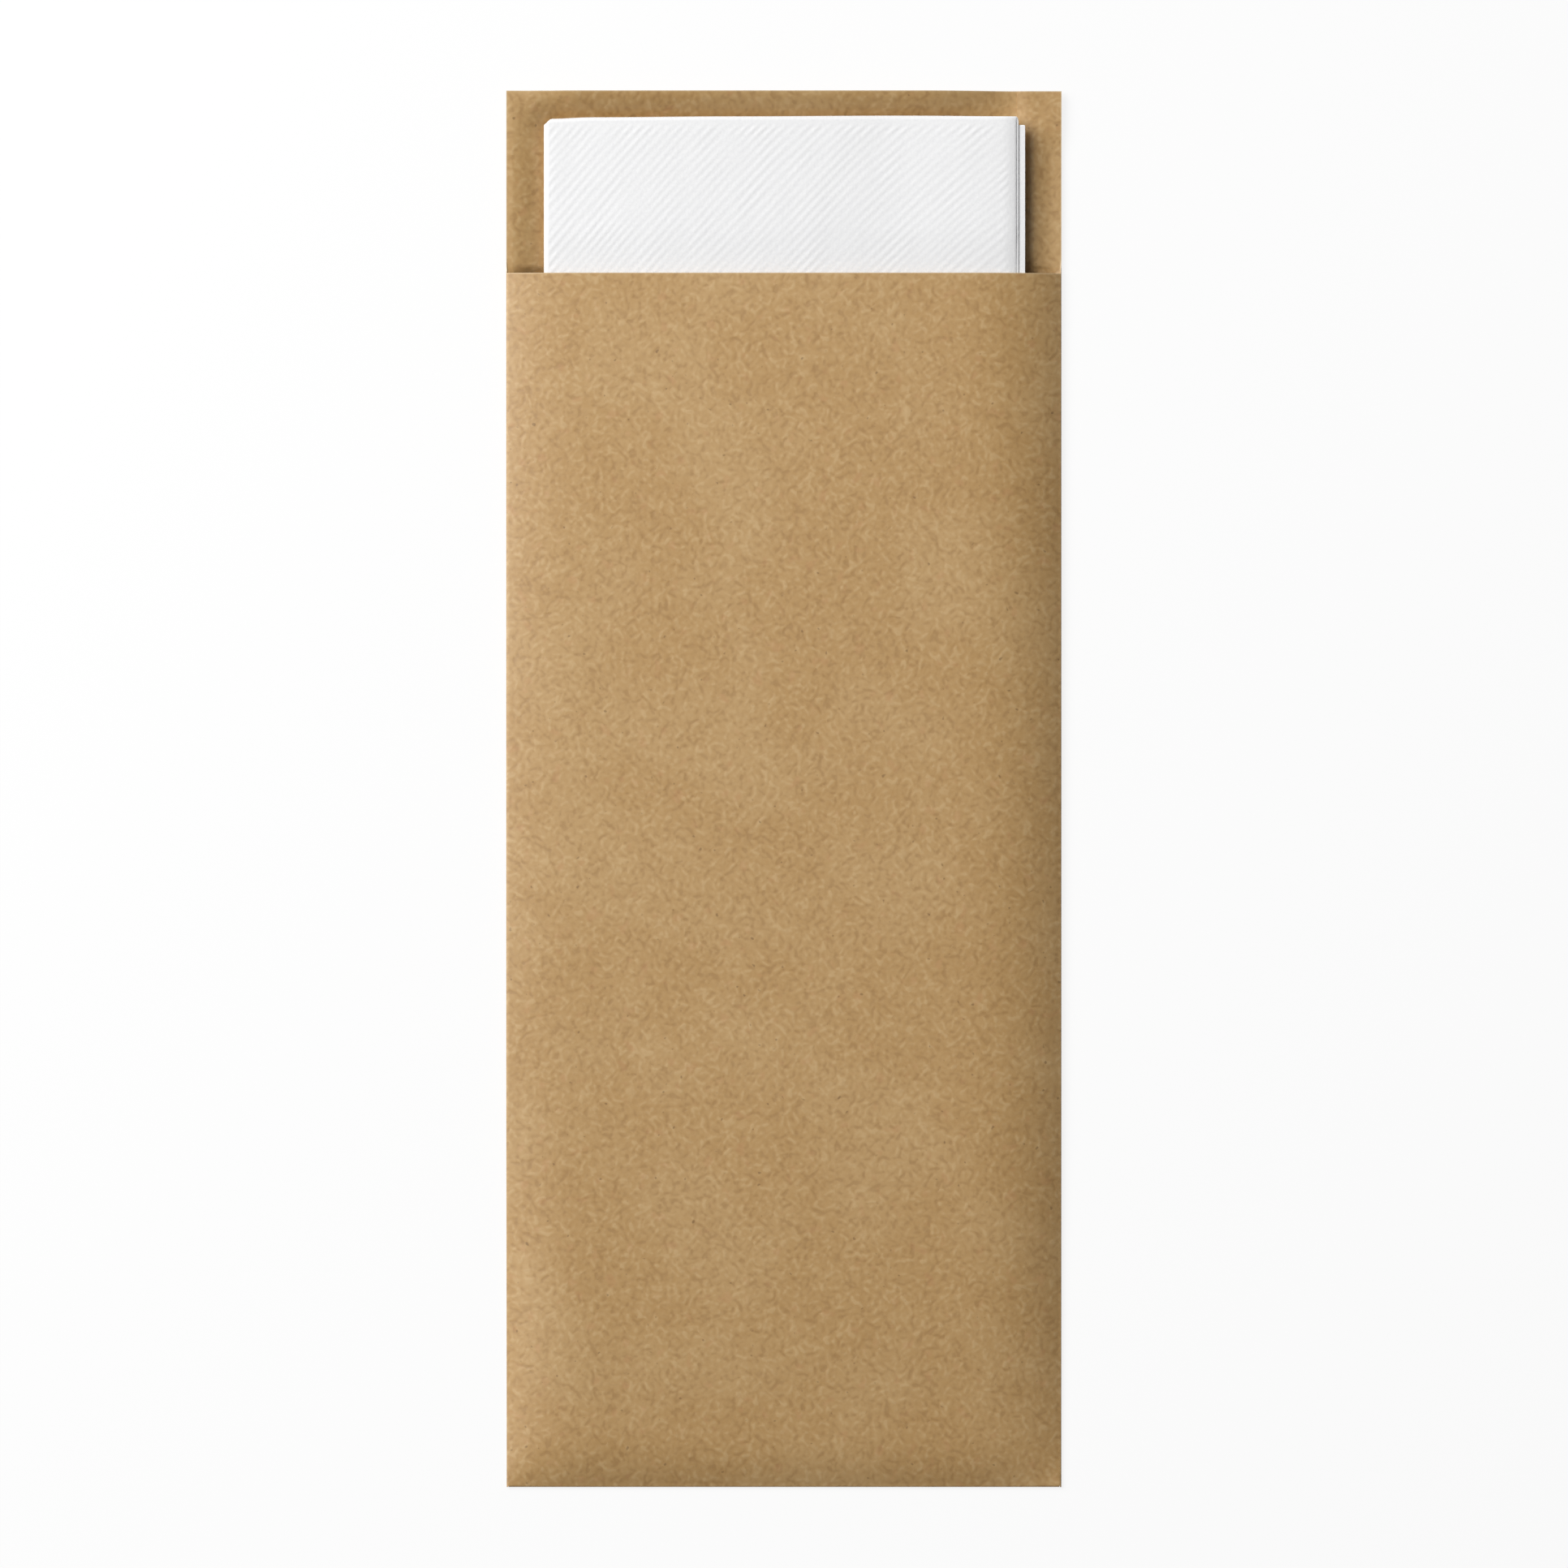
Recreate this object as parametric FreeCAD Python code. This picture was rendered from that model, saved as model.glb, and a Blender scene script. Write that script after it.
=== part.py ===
import FreeCAD, Part
import os

# A kraft-paper cutlery pouch with a folded tissue napkin in it, lying flat on its back.
# Width runs along X, height along Y with the open mouth at +Y, and the underside is Z = 0.

# --- pouch ---------------------------------------------------------------------------------
POUCH_WIDTH = 95.0
POUCH_HEIGHT = 239.0
KRAFT = 0.12  # paper thickness
MOUTH_STEP = 31.2  # the front panel stops this far below the top of the back panel
FLAP_HEIGHT = 31.0  # the bottom flap is the piece that the stepped cut leaves on the front
LAP_WIDTH = 7.6  # glued seam strip, inside, along the right edge
SEAM_SETBACK = 0.9  # the back panel's cut edge stops this far inside the right fold
FOLD_STACK = 0.72  # height over the folded edges, where all layers are pressed together
FOLD_BAND = 0.5  # width of the pressed band along each folded edge
FOLD_LEG = 0.4  # the front panel's leg of a side fold ends here, inside the band
FLAP_RAMP = 1.5  # length over which the back panel climbs onto the flap
SHOULDER_AIR = 0.25  # between the napkin's upper shoulders and the front panel
EMPTY_SHARE = 0.95  # the empty lower half stands this share of the full height
FLANK = 14.0  # width over which the front panel rises from each side
FLANK_POWER = 2.6  # more gives a steeper start at the edge
FOOT_SHARE = 0.82  # share of the empty length over which it rises from the bottom fold
FOOT_POWER = 3.0
ROWS = 12  # control rows of the front panel's surface above its pressed foot

# --- napkin --------------------------------------------------------------------------------
NAPKIN_SIDE = 327.0  # the flat square sheet
TISSUE = 0.33  # thickness of one embossed layer
LAYER_GAP = 0.08  # air between folded layers
HALF_STAGGER = 1.9  # the back half shows this far past the front half at the right
NAPKIN_LEFT_MARGIN = 6.4  # pouch's left edge to the napkin's spine
NAPKIN_TOP_MARGIN = 4.7  # pouch's top edge to the napkin's folded top
REST_GAP = 0.02  # between the napkin's back and the seam strip under it

TOP = POUCH_HEIGHT / 2
BOTTOM = -TOP
RIGHT = POUCH_WIDTH / 2
LEFT = -RIGHT
MOUTH = TOP - MOUTH_STEP
PITCH = TISSUE + LAYER_GAP
STACK = 7 * PITCH + TISSUE
NAPKIN_BASE = 2 * KRAFT + REST_GAP
NAPKIN_TOP = TOP - NAPKIN_TOP_MARGIN
NAPKIN_FOOT = NAPKIN_TOP - NAPKIN_SIDE / 2
NAPKIN_RIGHT = LEFT + NAPKIN_LEFT_MARGIN + NAPKIN_SIDE / 4  # mean of its two halves


def box(x0, x1, y0, y1, z0, z1):
    return Part.makeBox(x1 - x0, y1 - y0, z1 - z0, FreeCAD.Vector(x0, y0, z0))


def sheet_side_view(points, x0, x1):
    """A band of paper drawn in side view as (y, z) of its lower face, KRAFT thick, from x0 to x1."""
    lower = [FreeCAD.Vector(x0, y, z) for y, z in points]
    upper = [p + FreeCAD.Vector(0, 0, KRAFT) for p in reversed(lower)]
    ring = Part.makePolygon(lower + upper + lower[:1])
    return Part.Face(ring).extrude(FreeCAD.Vector(x1 - x0, 0, 0))


def fold_wire(place, low, high, upper_end):
    """The closed section of a folded edge: two legs and a half ring from height low to high.

    place(across, z) gives the 3-D point, with across = 0 at the edge. The lower leg ends at
    FOLD_BAND and the upper leg at upper_end.
    """
    radius = (high - low) / 2
    middle = low + radius

    def half_ring(r):
        start, top, end = (
            place(radius, middle - r),
            place(radius - r, middle),
            place(radius, middle + r),
        )
        return Part.Arc(start, top, end).toShape()

    outer, inner = half_ring(radius), half_ring(radius - KRAFT)
    corners = [place(FOLD_BAND, low), place(FOLD_BAND, low + KRAFT)]
    corners += [place(upper_end, high - KRAFT), place(upper_end, high)]
    legs = [
        Part.makeLine(corners[0], place(radius, low)),
        Part.makeLine(place(radius, high), corners[3]),
        Part.makeLine(corners[3], corners[2]),
        Part.makeLine(corners[2], place(radius, high - KRAFT)),
        Part.makeLine(place(radius, low + KRAFT), corners[1]),
        Part.makeLine(corners[1], corners[0]),
    ]
    a, b, c, d, e, f = legs
    return Part.Wire([a, outer, b, c, d, inner, e, f])


def side_fold(edge, inward, low):
    """The folded edge from the bottom fold to the mouth; its lower leg climbs with the flap."""

    def section(y, height):
        return fold_wire(
            lambda across, z: FreeCAD.Vector(edge + inward * across, y, z),
            height,
            FOLD_STACK,
            FOLD_LEG,
        )

    bottom = section(BOTTOM + FOLD_BAND, low + KRAFT)
    step = BOTTOM + FLAP_HEIGHT
    over_flap = Part.Face(bottom).extrude(
        FreeCAD.Vector(0, step - BOTTOM - FOLD_BAND, 0)
    )
    ramp = Part.makeLoft(
        [section(step, low + KRAFT), section(step + FLAP_RAMP, low)], True, True
    )
    above = Part.Face(section(step + FLAP_RAMP, low)).extrude(
        FreeCAD.Vector(0, MOUTH - step - FLAP_RAMP, 0)
    )
    near, far = sorted((edge + inward * FOLD_LEG, edge + inward * FOLD_BAND))
    margin = box(near, far, BOTTOM + FOLD_BAND, MOUTH, FOLD_STACK - KRAFT, FOLD_STACK)
    return [over_flap, ramp, above, margin]


def rise(distance, reach, power):
    """0 at a folded edge, 1 from reach inward, steepest at the edge."""
    return 1 - max(0.0, 1 - max(0.0, distance) / reach) ** power


def front_panel():
    """The bulged front sheet: a smooth surface held down along its three folded edges."""
    side_steps = [0, 0.6, 1.6, 4, 7.5, 12, 17, 23, 31]
    inner = [FOLD_BAND + s for s in side_steps]
    xs = [LEFT + d for d in inner] + [0.0] + [RIGHT - d for d in reversed(inner)]
    foot_steps = [0, 0.6, 2, 6]
    y0 = BOTTOM + FOLD_BAND + foot_steps[-1]
    ys = [BOTTOM + FOLD_BAND + s for s in foot_steps]
    ys += [y0 + (MOUTH - y0) * (k / ROWS) ** 1.25 for k in range(1, ROWS + 1)]
    start = FOLD_BAND + side_steps[1]
    foot = FOOT_SHARE * (NAPKIN_FOOT - BOTTOM)
    shoulder = min(NAPKIN_LEFT_MARGIN + STACK / 2, RIGHT - NAPKIN_RIGHT + HALF_STAGGER / 2)
    needed = NAPKIN_BASE + STACK + SHOULDER_AIR + KRAFT - FOLD_STACK

    def share(y):
        filled = rise(y - BOTTOM - foot, MOUTH - BOTTOM - foot, FOOT_POWER)
        return EMPTY_SHARE + (1 - EMPTY_SHARE) * filled

    over_shoulder = rise(shoulder - start, FLANK, FLANK_POWER)
    full = needed / (over_shoulder * share(NAPKIN_FOOT))

    def height(x, y):
        across = rise(RIGHT - abs(x) - start, FLANK, FLANK_POWER)
        along = rise(y - BOTTOM - start, foot, FOOT_POWER)
        return FOLD_STACK + full * share(y) * across * along

    poles = [[FreeCAD.Vector(x, y, height(x, y)) for y in ys] for x in xs]

    def knots(count):
        inside = count - 4
        return [float(k) for k in range(inside + 2)], [4] + [1] * inside + [4]

    u_knots, u_mults = knots(len(xs))
    v_knots, v_mults = knots(len(ys))
    surface = Part.BSplineSurface()
    surface.buildFromPolesMultsKnots(
        poles, u_mults, v_mults, u_knots, v_knots, False, False, 3, 3
    )
    return surface.toShape().extrude(FreeCAD.Vector(0, 0, -KRAFT))


def make_pouch():
    step = BOTTOM + FLAP_HEIGHT
    low_band = BOTTOM + FOLD_BAND
    back_cut = RIGHT - SEAM_SETBACK

    def climbing(low, x0, x1):
        profile = [
            (low_band, low + KRAFT),
            (step, low + KRAFT),
            (step + FLAP_RAMP, low),
            (MOUTH, low),
        ]
        return sheet_side_view(profile, x0, x1)

    flap = box(LEFT, RIGHT, low_band, step, 0, KRAFT)
    back = climbing(0, LEFT + FOLD_BAND, back_cut)
    back_top = box(LEFT, back_cut, MOUTH, TOP, 0, KRAFT)
    lap = climbing(KRAFT, RIGHT - LAP_WIDTH, RIGHT - FOLD_BAND)
    lap_top = box(RIGHT - LAP_WIDTH, RIGHT, MOUTH, TOP, KRAFT, 2 * KRAFT)
    bottom_section = fold_wire(
        lambda across, z: FreeCAD.Vector(LEFT, BOTTOM + across, z),
        0,
        FOLD_STACK,
        FOLD_BAND,
    )
    bottom_fold = Part.Face(bottom_section).extrude(FreeCAD.Vector(POUCH_WIDTH, 0, 0))
    pieces = (
        [flap, back_top, lap, lap_top, bottom_fold, front_panel()]
        + side_fold(LEFT, 1, 0)
        + side_fold(RIGHT, -1, KRAFT)
    )
    return back.multiFuse(pieces).removeSplitter()


def make_napkin():
    """Eight layers of one sheet: folded right edge, then folded top, then the spine at the left."""
    middle = NAPKIN_BASE + STACK / 2
    spine = LEFT + NAPKIN_LEFT_MARGIN + STACK / 2
    fold_y = NAPKIN_TOP - (1.5 * PITCH + TISSUE / 2)
    low_y = NAPKIN_FOOT
    small, large = LAYER_GAP / 2, LAYER_GAP / 2 + TISSUE

    def top_fold(centre, inner, outer):
        """Two layers and the round fold that joins them, as a face in side view."""
        arcs = [
            Part.Arc(
                FreeCAD.Vector(spine, fold_y, centre + r),
                FreeCAD.Vector(spine, fold_y + r, centre),
                FreeCAD.Vector(spine, fold_y, centre - r),
            ).toShape()
            for r in (outer, inner)
        ]
        ends = [
            [FreeCAD.Vector(spine, low_y, centre + s * r) for r in (outer, inner)]
            for s in (1, -1)
        ]
        starts = [
            [FreeCAD.Vector(spine, fold_y, centre + s * r) for r in (outer, inner)]
            for s in (1, -1)
        ]
        edges = [
            Part.makeLine(ends[0][0], starts[0][0]),
            arcs[0],
            Part.makeLine(starts[1][0], ends[1][0]),
            Part.makeLine(ends[1][0], ends[1][1]),
            Part.makeLine(ends[1][1], starts[1][1]),
            arcs[1],
            Part.makeLine(starts[0][1], ends[0][1]),
            Part.makeLine(ends[0][1], ends[0][0]),
        ]
        return Part.Face(Part.Wire(edges))

    def edge_section(centre, x, side):
        """The half ring that joins two neighbouring layers at the right, at the top fold."""
        gap = centre + side * PITCH

        def ring(r):
            return Part.Arc(
                FreeCAD.Vector(x, fold_y, gap - r),
                FreeCAD.Vector(x + r, fold_y, gap),
                FreeCAD.Vector(x, fold_y, gap + r),
            ).toShape()

        joins = [
            Part.makeLine(
                FreeCAD.Vector(x, fold_y, gap + s * small),
                FreeCAD.Vector(x, fold_y, gap + s * large),
            )
            for s in (-1, 1)
        ]
        return Part.Face(Part.Wire([ring(large), joins[1], ring(small), joins[0]]))

    def half(centre, right, folded):
        """Four layers in two nested top folds; at the right either the first fold or cut edges."""
        x = right - large if folded else right
        faces = [
            top_fold(centre, small, large),
            top_fold(centre, PITCH + small, PITCH + large),
        ]
        out = [f.extrude(FreeCAD.Vector(x - spine, 0, 0)) for f in faces]
        if not folded:
            return faces, out
        for side in (1, -1):
            section = edge_section(centre, x, side)
            out.append(section.extrude(FreeCAD.Vector(0, low_y - fold_y, 0)))
        around = edge_section(centre, x, 1)
        axis = FreeCAD.Vector(x, fold_y, centre)
        out.append(around.revolve(axis, FreeCAD.Vector(-1, 0, 0), 180))
        return faces, out

    faces, front = half(middle + 2 * PITCH, NAPKIN_RIGHT - HALF_STAGGER / 2, folded=True)
    _, back = half(middle - 2 * PITCH, NAPKIN_RIGHT + HALF_STAGGER / 2, folded=False)
    turn = [
        f.revolve(FreeCAD.Vector(spine, 0, middle), FreeCAD.Vector(0, -1, 0), 180)
        for f in faces
    ]
    solids = front + back + turn
    return solids[0].multiFuse(solids[1:]).removeSplitter()


os.makedirs("parts", exist_ok=True)
for name, shape in (("pouch", make_pouch()), ("napkin", make_napkin())):
    solid = shape.Solids[0] if len(shape.Solids) == 1 else shape
    solid.exportStep(f"parts/{name}.step")
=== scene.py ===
import logging
import math
from dataclasses import dataclass, field
from enum import Enum
from typing import Callable, Dict, List, Optional, Sequence, Tuple

import bmesh
import bpy
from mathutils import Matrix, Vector, noise


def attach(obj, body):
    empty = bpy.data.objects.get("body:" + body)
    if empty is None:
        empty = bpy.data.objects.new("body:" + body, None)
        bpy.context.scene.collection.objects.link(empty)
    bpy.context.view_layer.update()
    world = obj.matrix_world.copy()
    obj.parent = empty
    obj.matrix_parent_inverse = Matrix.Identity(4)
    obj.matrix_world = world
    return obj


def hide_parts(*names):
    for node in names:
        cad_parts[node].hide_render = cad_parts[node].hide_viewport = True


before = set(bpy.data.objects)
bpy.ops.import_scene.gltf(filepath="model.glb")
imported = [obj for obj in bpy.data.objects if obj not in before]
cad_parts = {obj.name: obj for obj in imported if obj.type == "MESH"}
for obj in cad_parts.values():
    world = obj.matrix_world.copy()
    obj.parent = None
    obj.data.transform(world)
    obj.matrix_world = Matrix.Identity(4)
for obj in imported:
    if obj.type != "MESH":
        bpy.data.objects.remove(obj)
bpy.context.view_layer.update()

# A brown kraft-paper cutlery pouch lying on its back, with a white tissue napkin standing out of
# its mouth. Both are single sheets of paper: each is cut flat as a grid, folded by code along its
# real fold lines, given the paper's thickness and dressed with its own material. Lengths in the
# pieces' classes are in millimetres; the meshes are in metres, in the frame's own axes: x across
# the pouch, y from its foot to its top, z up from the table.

Pair = Tuple[float, float]
Triple = Tuple[float, float, float]

LOG = logging.getLogger("cutlery_pouch")
MM = 0.001
CREASE = 40.0  # degrees: a sharper edge keeps its own shading
FLAT = "flat_mm"  # attribute: where a point lay on the flat sheet
CUT = "cut_mm"  # attribute: distance from the nearest cut edge

# Settings that several nodes share.
PLANE = {"noise_dimensions": "2D"}
PLUS = {"operation": "ADD"}
LESS = {"operation": "SUBTRACT"}
TIMES = {"operation": "MULTIPLY"}
TIMES_PLUS = {"operation": "MULTIPLY_ADD"}
GREATER = {"operation": "MAXIMUM"}
SIZE = {"operation": "ABSOLUTE"}
COSINE = {"operation": "COSINE"}
SOFT = {"interpolation_type": "SMOOTHSTEP"}
COLOUR = {"data_type": "RGBA"}


# ---- Small helpers ----


def linear(code: str) -> Tuple[float, float, float, float]:
    """Turn an sRGB hex colour into linear RGBA.

    Args:
        code: six hex digits, with or without a leading #.

    Returns:
        The colour as linear red, green, blue and an alpha of 1.
    """
    raw = [int(code.lstrip("#")[i : i + 2], 16) / 255 for i in (0, 2, 4)]
    lin = [c / 12.92 if c <= 0.04045 else ((c + 0.055) / 1.055) ** 2.4 for c in raw]
    return (lin[0], lin[1], lin[2], 1.0)


def smooth(value: float, low: float, high: float) -> float:
    """Smoothstep of value between low and high.

    Args:
        value: the number to place.
        low: where the result is 0.
        high: where the result is 1.

    Returns:
        A number from 0 to 1 with no slope at either end.
    """
    t = min(1.0, max(0.0, (value - low) / (high - low)))
    return t * t * (3 - 2 * t)


def ease(distance: float, reach: float, power: float) -> float:
    """0 at a held edge and 1 from reach inward, steepest at the edge."""
    return 1 - max(0.0, 1 - max(0.0, distance) / reach) ** power


def lift_off(share: float, start: float) -> float:
    """From 0 to 1 with share, straight but for a gentle start of about this length."""
    return (1 + start) * share * share / (share + start)


def bow(share: float) -> float:
    """0 up to share 0 and 1 from share 1 on: it lifts off gently and levels out again."""
    return 1 - (1 - lift_off(min(1.0, max(0.0, share)), 0.12)) ** 2


def ripple(x: float, y: float, wave: float, seed: float) -> float:
    """Smooth noise, about -1 to 1, whose bumps are about wave millimetres apart."""
    return 1.6 * noise.noise(Vector((x / wave, y / wave, seed)))


def steps(marks: Sequence[Pair]) -> List[float]:
    """Divide a line into stations whose spacing changes from mark to mark.

    Args:
        marks: pairs of a position and the spacing from there on; the last spacing isn't used.

    Returns:
        The stations, with every mark among them.
    """
    out = [marks[0][0]]
    for (start, gap), (stop, _) in zip(marks, marks[1:]):
        count = max(1, round(abs(stop - start) / gap))
        out += [start + (stop - start) * k / count for k in range(1, count + 1)]
    return out


def folded_sheet(
    name: str,
    columns: int,
    rows: int,
    keep: Callable[[int, int], bool],
    place: Callable[[int, int], Tuple[Vector, Vector, float]],
) -> bpy.types.Object:
    """Cut a sheet from a flat grid and fold it.

    Args:
        name: the new object's name.
        columns: vertices across.
        rows: vertices along.
        keep: says whether the cell at (column, row) is part of the sheet.
        place: gives a vertex's folded place, its flat place and its distance from a cut edge,
            all in millimetres.

    Returns:
        The folded sheet, with no thickness yet.
    """
    bpy.ops.object.select_all(action="DESELECT")
    bpy.ops.mesh.primitive_grid_add(x_subdivisions=columns - 1, y_subdivisions=rows - 1, size=1)
    piece = bpy.context.object
    piece.name = piece.data.name = name
    cells = bmesh.new()
    cells.from_mesh(piece.data)
    flat = cells.verts.layers.float_vector.new(FLAT)
    cut = cells.verts.layers.float.new(CUT)
    spot = {
        v: (round((v.co.x + 0.5) * (columns - 1)), round((v.co.y + 0.5) * (rows - 1)))
        for v in cells.verts
    }
    gone = [
        f
        for f in cells.faces
        if not keep(min(spot[v][0] for v in f.verts), min(spot[v][1] for v in f.verts))
    ]
    for v, (i, j) in spot.items():
        where, laid, edge = place(i, j)
        v.co = where * MM
        v[flat] = laid
        v[cut] = edge
    bmesh.ops.delete(cells, geom=gone, context="FACES")
    cells.to_mesh(piece.data)
    cells.free()
    for layer in list(piece.data.uv_layers):
        piece.data.uv_layers.remove(layer)
    return piece


def thicken(piece: bpy.types.Object, thickness: float, loft: str = "") -> None:
    """Give a folded sheet its paper thickness, half to each side, and smooth its shading.

    Args:
        piece: the sheet.
        thickness: millimetres.
        loft: vertex group holding the share of the thickness a point keeps; none for all of it.
    """
    bpy.ops.object.select_all(action="DESELECT")
    piece.select_set(True)
    bpy.context.view_layer.objects.active = piece
    wall = piece.modifiers.new("thickness", "SOLIDIFY")
    wall.thickness = thickness * MM
    wall.offset = 0.0
    wall.vertex_group = loft
    bpy.ops.object.modifier_apply(modifier=wall.name)
    bpy.ops.object.shade_smooth_by_angle(angle=math.radians(CREASE))


# ---- Materials ----


@dataclass
class Nodes:
    """The node tree of a material or of the world, built one node at a time."""

    tree: bpy.types.NodeTree

    @classmethod
    def empty(cls, owner: bpy.types.ID) -> "Nodes":
        """Give a material or a world an empty node tree.

        Args:
            owner: the material or the world.

        Returns:
            Its tree, ready for nodes.
        """
        owner.use_nodes = True
        owner.node_tree.nodes.clear()
        return cls(owner.node_tree)

    def add(
        self, kind: str, settings: Optional[Dict[str, object]] = None, **links: object
    ) -> bpy.types.Node:
        """Add a node with its settings and links.

        Args:
            kind: Blender's node type, without "ShaderNode".
            settings: node properties by name.
            **links: input sockets by name (_ for a space) or number (i0, i1, ...), each a
                value, a node (its first output in use) or an output socket.

        Returns:
            The new node.
        """
        node = self.tree.nodes.new("ShaderNode" + kind)
        for key, value in (settings or {}).items():
            setattr(node, key, value)
        for key, value in links.items():
            number = key[1:]
            at = int(number) if key[0] == "i" and number.isdigit() else key.replace("_", " ")
            socket = node.inputs[at]
            if isinstance(value, bpy.types.Node):
                value = next(o for o in value.outputs if o.enabled)
            if isinstance(value, bpy.types.NodeSocket):
                self.tree.links.new(value, socket)
            else:
                socket.default_value = value
        return node


@dataclass(frozen=True)
class KraftPaper:
    """Unbleached brown kraft paper, lightly calendered.

    The eye sees a warm mid-brown with soft cloudy mottling, a few bark specks and faint reddish
    flecks, thickly covered with short curled fibres that stand a little proud. Some fibres are
    paler
    and some darker than the rest: partly their own tone, partly painted light on the raised ones
    and painted shade in the sunken ones. It has a low, broad sheen. Cut edges show a paler core,
    and a painted highlight runs along them.
    """

    body: str = "#C19B64"
    deep: str = "#B48B53"
    pale: str = "#D8B988"
    shade: str = "#8F6636"
    speck: str = "#6E4F2A"
    blush: str = "#C58F62"
    # paler core of the cut edges, with a painted highlight along them
    pale_core_and_edge_highlight: str = "#E0C79E"
    # Mottling: bumps along a millimetre, detail, seed.
    broad: Triple = (0.045, 2.0, 3.0)
    medium: Triple = (0.22, 2.0, 11.0)
    grain: Triple = (1.1, 2.0, 29.0)
    stains: Triple = (0.95, 1.0, 43.0)
    flecks: Triple = (0.35, 1.0, 57.0)
    bark: Triple = (0.8, 1.0, 91.0)
    # Loose fibres: strokes along a millimetre, seed, half a stroke's length.
    strokes: Tuple[Triple, ...] = ((0.4, 3.1, 1.5), (0.36, 52.3, 1.7), (0.45, 95.1, 1.35))
    fibre_mm: float = 0.9  # drawn ten times or more as wide as real ones, so that they show
    bend: float = 0.6  # spread of their curvature
    # Matted fibres: the level lines of soft noise. Bumps along a millimetre, lines, seed.
    curls: Tuple[Triple, ...] = ((0.36, 3.2, 3.1), (0.43, 2.8, 17.7), (0.31, 3.6, 52.3))
    curl_detail: float = 0.3
    curl_share: float = 0.4  # each one's strength beside the loose fibres
    felt_full: float = 1.6  # where they all together have their full colour
    relief_mm: float = 0.006  # how far a fibre stands proud of the paper
    grain_share: float = 0.15  # height of the grain beside that of the fibres
    roughness: float = 0.45
    specular: float = 0.78

    def felt(self, s: Nodes, flat: bpy.types.NodeSocket) -> bpy.types.Node:
        """The fibres, matted and loose.

        Args:
            s: the material's nodes.
            flat: the place on the flat sheet.

        Returns:
            Over 0 on the pale fibres and under 0 on the dark ones.
        """
        felt = 0.0
        for per_mm, lines, seed in self.curls:
            moved = s.add("VectorMath", PLUS, i0=flat, i1=(seed, seed * 1.7, 0.0))
            soft = s.add("TexNoise", PLANE, Vector=moved, Scale=per_mm, Detail=self.curl_detail)
            level = s.add("Math", TIMES, i0=soft, i1=lines * 2 * math.pi)
            curl = s.add("Math", COSINE, i0=level)
            felt = s.add("Math", TIMES_PLUS, i0=curl, i1=self.curl_share, i2=felt)
        for per_mm, seed, reach in self.strokes:  # one short bent stroke in each random cell
            moved = s.add("VectorMath", PLUS, i0=flat, i1=(seed, seed * 1.7, 0.0))
            cells = s.add("TexVoronoi", {"voronoi_dimensions": "2D"}, Vector=moved, Scale=per_mm)
            chance = s.add("SeparateColor", Color=cells.outputs["Color"]).outputs
            local = s.add("VectorMath", LESS, i0=moved, i1=cells.outputs["Position"])
            angle = s.add("Math", TIMES, i0=chance[0], i1=2 * math.pi)
            turned = s.add("VectorRotate", {"rotation_type": "Z_AXIS"}, Vector=local, Angle=angle)
            x, y, _ = s.add("SeparateXYZ", Vector=turned).outputs
            half = self.bend / 2
            bend = s.add("MapRange", Value=chance[1], To_Min=-half, To_Max=half)
            square = s.add("Math", TIMES, i0=x, i1=x)
            bowed = s.add("Math", TIMES_PLUS, i0=square, i1=bend, i2=y)
            line = s.add(
                "MapRange", SOFT, Value=s.add("Math", SIZE, i0=bowed),
                From_Min=0.0, From_Max=self.fibre_mm / 2, To_Min=1.0, To_Max=0.0,
            )
            ends = s.add(
                "MapRange", SOFT, Value=s.add("Math", SIZE, i0=x),
                From_Min=0.3 * reach, From_Max=reach, To_Min=1.0, To_Max=0.0,
            )
            pale_or_dark = s.add(
                "MapRange", SOFT, Value=chance[2],
                From_Min=0.3, From_Max=0.7, To_Min=-1.0, To_Max=1.0,
            )
            stroke = s.add("Math", TIMES, i0=line, i1=ends)
            felt = s.add("Math", TIMES_PLUS, i0=stroke, i1=pale_or_dark, i2=felt)
        return felt

    def build(self) -> bpy.types.Material:
        """Build the material's nodes.

        Returns:
            The new material.
        """
        material = bpy.data.materials.new("unbleached_kraft_paper")
        s = Nodes.empty(material)
        flat = s.add("Attribute", {"attribute_name": FLAT}).outputs["Vector"]
        rim = s.add("Attribute", {"attribute_name": CUT}).outputs["Fac"]
        felt = self.felt(s, flat)
        clouds = []
        for per_mm, detail, seed in (
            self.medium, self.broad, self.grain, self.stains, self.flecks, self.bark
        ):
            moved = s.add("VectorMath", PLUS, i0=flat, i1=(seed, seed * 1.7, 0.0))
            clouds += [s.add("TexNoise", PLANE, Vector=moved, Scale=per_mm, Detail=detail)]
        medium, broad, grain, stains, flecks, bark = clouds
        tone = linear(self.deep)
        # A pattern, its values where a colour starts and is full, the colour's share at both.
        for value, (low, high), (start, full), colour in (
            (medium, (0.25, 0.75), (0.46, 0.67), self.body),
            (broad, (0.4, 0.65), (0.0, 0.15), self.pale),
            (grain, (0.3, 0.75), (0.0, 0.13), self.pale),
            # fibres: their own pale and dark tones, with painted light on the raised ones and
            # painted shade in the sunken ones
            (felt, (0.0, self.felt_full), (0.0, 0.38), self.pale),
            (felt, (0.0, -self.felt_full), (0.0, 0.32), self.shade),
            (stains, (0.5, 0.72), (0.0, 0.1), self.shade),
            (flecks, (0.66, 0.8), (0.0, 0.22), self.blush),
            (bark, (0.78, 0.86), (0.0, 0.5), self.speck),
            # cut edges: their paler core, with a painted highlight along them
            (rim, (0.03, 0.26), (0.6, 0.0), self.pale_core_and_edge_highlight),
        ):
            share = s.add(
                "MapRange", SOFT, Value=value,
                From_Min=low, From_Max=high, To_Min=start, To_Max=full,
            )
            tone = s.add("Mix", COLOUR, i0=share, i6=tone, i7=linear(colour))

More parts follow.
